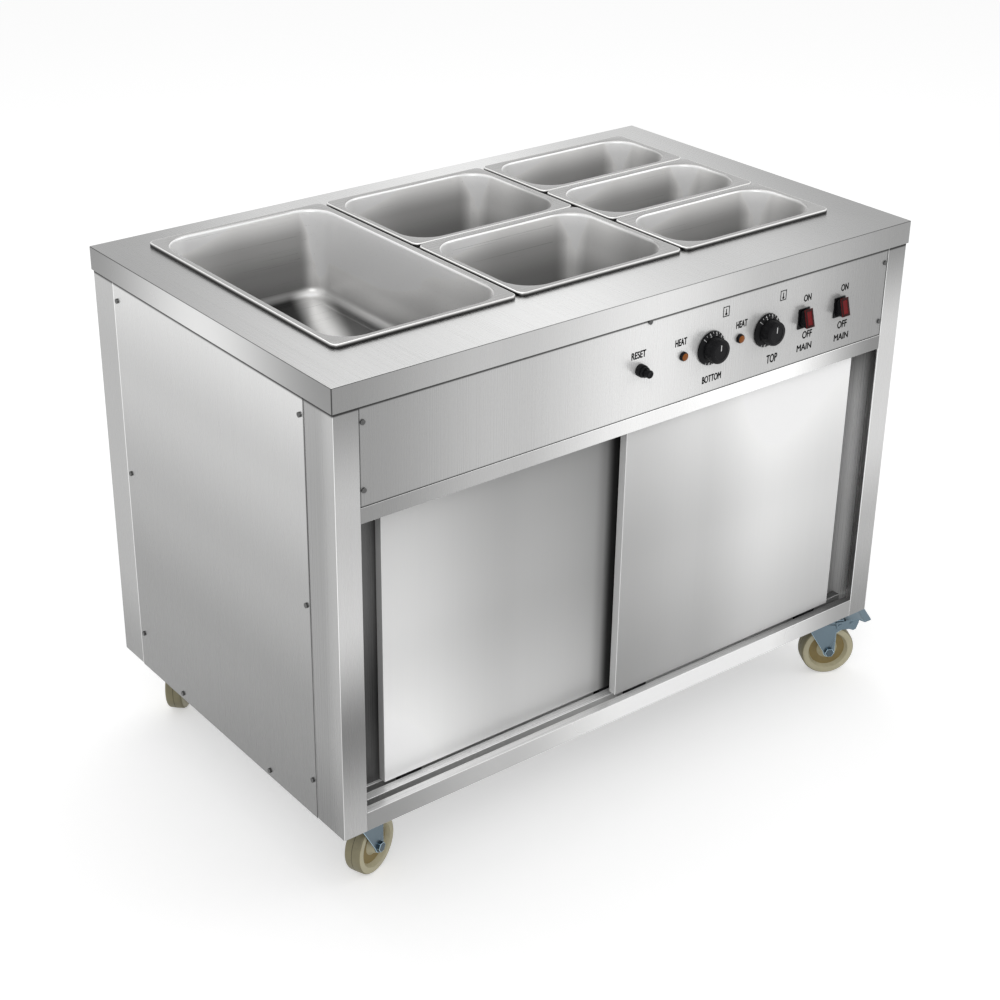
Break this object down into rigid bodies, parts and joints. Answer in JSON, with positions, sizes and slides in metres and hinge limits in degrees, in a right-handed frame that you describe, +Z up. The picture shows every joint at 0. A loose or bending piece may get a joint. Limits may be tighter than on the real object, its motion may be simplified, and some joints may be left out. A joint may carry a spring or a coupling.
{
  "type": "mobile bain marie",
  "caption": "Mobile bain marie: stainless cupboard with sliding doors, heated well of lift-out food pans in the top, front control panel and swivel castors.",
  "frame": {"origin": "on the floor under the centre of the cabinet, where the wheels touch it", "axes": "+X to the operator's right along the front, +Y from the control panel towards the back, +Z up"},
  "size_m": [1.1711, 0.7231, 0.881],
  "materials": {
    "satin_steel": "satin brushed stainless sheet",
    "pan_steel": "polished pressed stainless steel",
    "zinc_steel": "bright zinc plated steel",
    "element_steel": "heat darkened steel tube",
    "plated_brass": "nickel plated brass",
    "cream_nylon": "smooth cream nylon",
    "white_nylon": "plain white nylon",
    "black_plastic": "black moulded plastic",
    "red_plastic": "glossy red plastic",
    "amber_lens": "glossy amber plastic"
  },
  "bodies": {
    "cabinet": {"worktop": "satin_steel", "well_tank": "satin_steel", "pan_support_bars": "satin_steel", "well_heating_element": "element_steel", "front_left_post": "satin_steel", "front_right_post": "satin_steel", "back_left_post": "satin_steel", "back_right_post": "satin_steel", "left_side_panel": "satin_steel", "right_side_panel": "satin_steel", "back_panel": "satin_steel", "control_panel": "satin_steel", "panel_bracket": "satin_steel", "top_front_rail": "satin_steel", "bottom_front_rail": "satin_steel", "body_rails": "satin_steel", "cupboard_floor": "satin_steel", "cupboard_ceiling": "satin_steel", "heater_cover": "satin_steel", "cupboard_heating_element": "element_steel", "thermostats": "black_plastic", "indicator_lamps": "amber_lens", "switch_housings": "black_plastic", "reset_collar": "black_plastic", "terminal_block": "white_nylon", "cable_gland": "black_plastic", "drain_tap": "plated_brass", "panel_screws": "zinc_steel", "castor_plates": "zinc_steel", "castor_bolts": "zinc_steel"},
    "left_door": {"left_door": "satin_steel", "left_door_glides": "black_plastic"},
    "right_door": {"right_door": "satin_steel", "right_door_glides": "black_plastic"},
    "bottom_knob": {"bottom_knob": "black_plastic"},
    "top_knob": {"top_knob": "black_plastic"},
    "first_rocker": {"first_rocker": "red_plastic"},
    "second_rocker": {"second_rocker": "red_plastic"},
    "reset_button": {"reset_button": "black_plastic"},
    "drain_lever": {"drain_lever": "black_plastic"},
    "full_pan": {"full_pan": "pan_steel"},
    "half_pan_front": {"half_pan_front": "pan_steel"},
    "half_pan_rear": {"half_pan_rear": "pan_steel"},
    "third_pan_front": {"third_pan_front": "pan_steel"},
    "third_pan_middle": {"third_pan_middle": "pan_steel"},
    "third_pan_rear": {"third_pan_rear": "pan_steel"},
    "front_left_castor": {"front_left_fork": "zinc_steel", "front_left_axle": "zinc_steel"},
    "front_left_wheel": {"front_left_wheel": "cream_nylon"},
    "front_left_brake_pedal": {"front_left_brake_pedal": "zinc_steel"},
    "front_right_castor": {"front_right_fork": "zinc_steel", "front_right_axle": "zinc_steel"},
    "front_right_wheel": {"front_right_wheel": "cream_nylon"},
    "front_right_brake_pedal": {"front_right_brake_pedal": "zinc_steel"},
    "back_left_castor": {"back_left_fork": "zinc_steel", "back_left_axle": "zinc_steel"},
    "back_left_wheel": {"back_left_wheel": "cream_nylon"},
    "back_right_castor": {"back_right_fork": "zinc_steel", "back_right_axle": "zinc_steel"},
    "back_right_wheel": {"back_right_wheel": "cream_nylon"}
  },
  "joints": [
    {"name": "left_door_slide", "type": "slide", "parent": "cabinet", "child": "left_door", "axis": [1, 0, 0], "range_m": [-0.035, 0.463]},
    {"name": "right_door_slide", "type": "slide", "parent": "cabinet", "child": "right_door", "axis": [1, 0, 0], "range_m": [-0.475, 0.023]},
    {"name": "bottom_knob_turn", "type": "hinge", "parent": "cabinet", "child": "bottom_knob", "pos_m": [0.129, -0.34, 0.7585], "axis": [0, 1, 0], "range_deg": [0, 270]},
    {"name": "top_knob_turn", "type": "hinge", "parent": "cabinet", "child": "top_knob", "pos_m": [0.25, -0.34, 0.7585], "axis": [0, 1, 0], "range_deg": [0, 270]},
    {"name": "first_rocker_tilt", "type": "hinge", "parent": "cabinet", "child": "first_rocker", "pos_m": [0.334, -0.34, 0.7585], "axis": [1, 0, 0], "range_deg": [0, 30]},
    {"name": "second_rocker_tilt", "type": "hinge", "parent": "cabinet", "child": "second_rocker", "pos_m": [0.4165, -0.34, 0.7585], "axis": [1, 0, 0], "range_deg": [0, 30]},
    {"name": "reset_button_press", "type": "slide", "parent": "cabinet", "child": "reset_button", "axis": [0, 1, 0], "range_m": [0, 0.003], "stiffness_N_per_m": 300},
    {"name": "drain_lever_turn", "type": "hinge", "parent": "cabinet", "child": "drain_lever", "pos_m": [-0.4105, 0.191, 0.652], "axis": [0, 1, 0], "range_deg": [0, 90]},
    {"name": "full_pan_lift", "type": "slide", "parent": "cabinet", "child": "full_pan", "axis": [0, 0, 1], "range_m": [0, 0.2]},
    {"name": "half_pan_front_lift", "type": "slide", "parent": "cabinet", "child": "half_pan_front", "axis": [0, 0, 1], "range_m": [0, 0.2]},
    {"name": "half_pan_rear_lift", "type": "slide", "parent": "cabinet", "child": "half_pan_rear", "axis": [0, 0, 1], "range_m": [0, 0.2]},
    {"name": "third_pan_front_lift", "type": "slide", "parent": "cabinet", "child": "third_pan_front", "axis": [0, 0, 1], "range_m": [0, 0.2]},
    {"name": "third_pan_middle_lift", "type": "slide", "parent": "cabinet", "child": "third_pan_middle", "axis": [0, 0, 1], "range_m": [0, 0.2]},
    {"name": "third_pan_rear_lift", "type": "slide", "parent": "cabinet", "child": "third_pan_rear", "axis": [0, 0, 1], "range_m": [0, 0.2]},
    {"name": "front_left_swivel", "type": "hinge", "parent": "cabinet", "child": "front_left_castor", "pos_m": [-0.5015, -0.279, 0.1145], "axis": [0, 0, 1], "continuous": true},
    {"name": "front_left_wheel_spin", "type": "hinge", "parent": "front_left_castor", "child": "front_left_wheel", "pos_m": [-0.47443, -0.26861, 0.049], "axis": [0.3584, -0.9336, 0], "continuous": true},
    {"name": "front_left_brake_press", "type": "hinge", "parent": "front_left_castor", "child": "front_left_brake_pedal", "pos_m": [-0.45949, -0.26287, 0.103], "axis": [-0.3584, 0.9336, 0], "range_deg": [0, 12]},
    {"name": "front_right_swivel", "type": "hinge", "parent": "cabinet", "child": "front_right_castor", "pos_m": [0.5015, -0.279, 0.1145], "axis": [0, 0, 1], "continuous": true},
    {"name": "front_right_wheel_spin", "type": "hinge", "parent": "front_right_castor", "child": "front_right_wheel", "pos_m": [0.52686, -0.29306, 0.049], "axis": [-0.4848, -0.8746, 0], "continuous": true},
    {"name": "front_right_brake_press", "type": "hinge", "parent": "front_right_castor", "child": "front_right_brake_pedal", "pos_m": [0.54086, -0.30082, 0.103], "axis": [0.4848, 0.8746, 0], "range_deg": [0, 12]},
    {"name": "back_left_swivel", "type": "hinge", "parent": "cabinet", "child": "back_left_castor", "pos_m": [-0.5015, 0.294, 0.1145], "axis": [0, 0, 1], "continuous": true},
    {"name": "back_left_wheel_spin", "type": "hinge", "parent": "back_left_castor", "child": "back_left_wheel", "pos_m": [-0.48099, 0.31451, 0.049], "axis": [0.7071, -0.7071, 0], "continuous": true},
    {"name": "back_right_swivel", "type": "hinge", "parent": "cabinet", "child": "back_right_castor", "pos_m": [0.5015, 0.294, 0.1145], "axis": [0, 0, 1], "continuous": true},
    {"name": "back_right_wheel_spin", "type": "hinge", "parent": "back_right_castor", "child": "back_right_wheel", "pos_m": [0.47425, 0.28408, 0.049], "axis": [-0.342, 0.9397, 0], "continuous": true}
  ]
}
